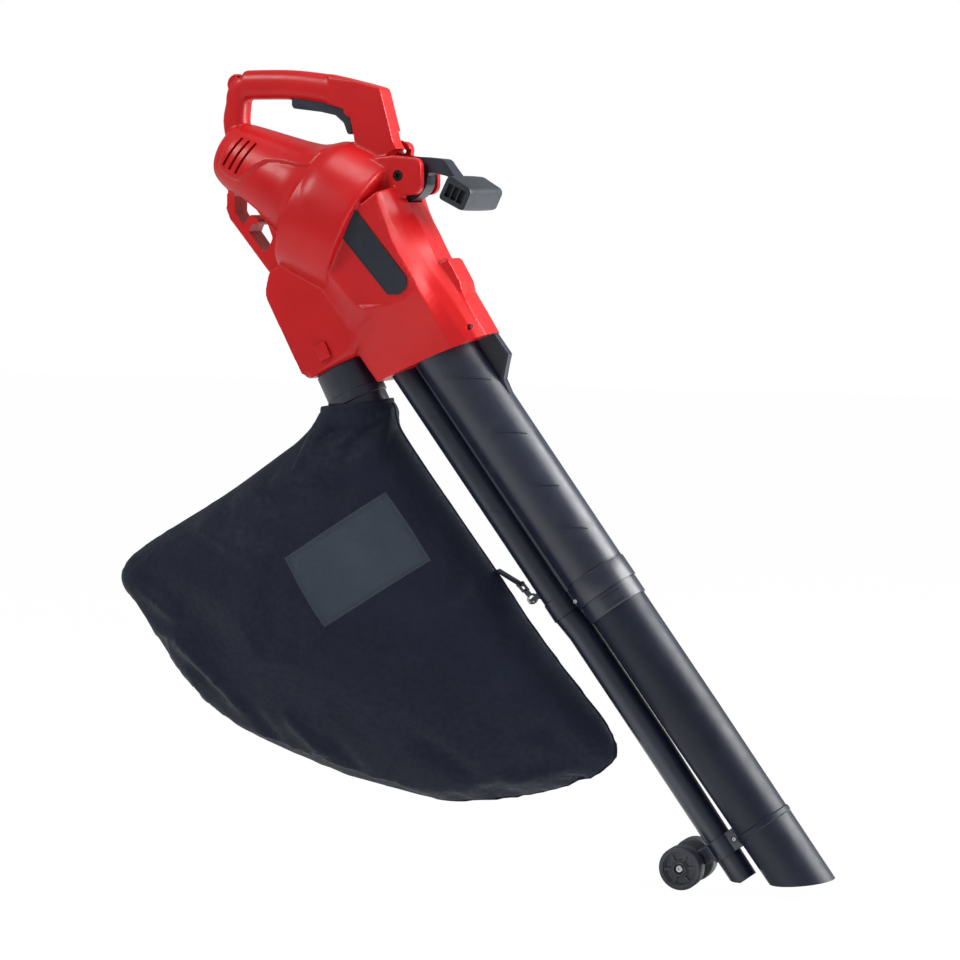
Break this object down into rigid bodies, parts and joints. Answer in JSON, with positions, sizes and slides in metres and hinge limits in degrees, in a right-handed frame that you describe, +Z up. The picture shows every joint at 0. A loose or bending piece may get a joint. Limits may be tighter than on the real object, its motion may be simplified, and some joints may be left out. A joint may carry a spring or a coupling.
{
  "type": "electric leaf blower",
  "caption": "Corded garden blower and vacuum: red clamshell motor and fan housing with two handles, double black tube with wheels, and a fabric collecting bag.",
  "frame": {"origin": "centre of the rear handle's grip, where the hand that carries the machine holds it", "axes": "+Z up in the stored pose, +X from the rear handle towards the nozzle, +Y across the machine to its far side; the suction tube slopes down by 53.5 degrees in the X-Z plane"},
  "size_m": [0.9834, 0.1758, 1.0174],
  "materials": {
    "red_plastic": "glossy injection-moulded plastic",
    "black_plastic": "satin injection-moulded plastic",
    "soft_grip": "soft-touch moulding",
    "bag_fabric": "woven, slightly shiny",
    "steel": "plated steel",
    "copper": "varnished copper winding",
    "carbon": "pressed carbon",
    "white_nylon": "moulded nylon",
    "badge_plastic": "dark plastic"
  },
  "bodies": {
    "machine": {"badge_plate": "badge_plastic", "bag": "bag_fabric", "bag_spout": "black_plastic", "bag_strap": "bag_fabric", "blow_duct": "black_plastic", "bracket_screw": "steel", "brush_holder_left": "badge_plastic", "brush_holder_right": "badge_plastic", "capacitor": "badge_plastic", "carbon_brush_left": "carbon", "carbon_brush_right": "carbon", "collar_screw": "steel", "friction_washer_left": "steel", "friction_washer_right": "steel", "front_bearing": "steel", "front_bracket": "steel", "housing_left": "red_plastic", "housing_right": "red_plastic", "housing_screw_1": "steel", "housing_screw_2": "steel", "housing_screw_3": "steel", "housing_screw_4": "steel", "inlet_pin_left": "steel", "inlet_pin_right": "steel", "joint_screw": "steel", "lower_tube": "black_plastic", "pivot_nut": "steel", "pivot_screw": "badge_plastic", "power_inlet": "badge_plastic", "rear_bearing": "steel", "rear_bracket": "steel", "snap_hook": "black_plastic", "speed_board": "copper", "stator": "steel", "trigger_pin": "steel", "trigger_switch": "badge_plastic", "upper_tube": "black_plastic", "wheel_axle": "steel", "wheel_bracket": "black_plastic", "wheel_screw_left": "steel", "wheel_screw_right": "steel"},
    "trigger_lever": {"trigger": "black_plastic"},
    "speed_wheel": {"speed_dial": "red_plastic"},
    "front_handle": {"front_handle_arm": "black_plastic", "front_handle_grip": "soft_grip"},
    "rotor": {"motor_shaft": "steel", "armature_core": "copper", "commutator": "copper", "impeller": "white_nylon", "impeller_nut": "steel"},
    "air_flap": {"changeover_flap": "black_plastic", "mode_lever": "black_plastic"},
    "left_wheel": {"wheel_left": "black_plastic"},
    "right_wheel": {"wheel_right": "black_plastic"},
    "latch": {"bag_latch": "red_plastic"},
    "gate": {"hook_gate": "steel"}
  },
  "joints": [
    {"name": "trigger_pull", "type": "hinge", "parent": "machine", "child": "trigger_lever", "pos_m": [0.064, 0, -0.0275], "axis": [0, 1, 0], "range_deg": [0, 4], "stiffness_Nm_per_rad": 0.8, "springref_deg": -8.59},
    {"name": "speed_turn", "type": "hinge", "parent": "machine", "child": "speed_wheel", "pos_m": [-0.0935, 0, 0.002], "axis": [0, 1, 0], "range_deg": [0, 270]},
    {"name": "front_handle_swing", "type": "hinge", "parent": "machine", "child": "front_handle", "pos_m": [0.1475, 0, -0.1165], "axis": [0, 1, 0], "range_deg": [-60, 30]},
    {"name": "rotor_spin", "type": "hinge", "parent": "machine", "child": "rotor", "pos_m": [0.0638, 0, -0.1657], "axis": [0.8988, 0, -0.4384], "continuous": true},
    {"name": "flap_turn", "type": "hinge", "parent": "machine", "child": "air_flap", "pos_m": [0.076, 0, -0.318], "axis": [0, -1, 0], "range_deg": [0, 140]},
    {"name": "left_wheel_spin", "type": "hinge", "parent": "machine", "child": "left_wheel", "pos_m": [0.52827, -0.027, -0.97087], "axis": [0, 1, 0], "continuous": true},
    {"name": "right_wheel_spin", "type": "hinge", "parent": "machine", "child": "right_wheel", "pos_m": [0.52827, 0.027, -0.97087], "axis": [0, 1, 0], "continuous": true},
    {"name": "latch_slide", "type": "slide", "parent": "machine", "child": "latch", "axis": [-0.4509, 0, 0.8926], "range_m": [0, 0.005], "stiffness_N_per_m": 150, "springref_m": -0.004},
    {"name": "gate_open", "type": "hinge", "parent": "machine", "child": "gate", "pos_m": [0.31255, 0, -0.64823], "axis": [0, -1, 0], "range_deg": [0, 14], "stiffness_Nm_per_rad": 0.02, "springref_deg": -17.19}
  ]
}
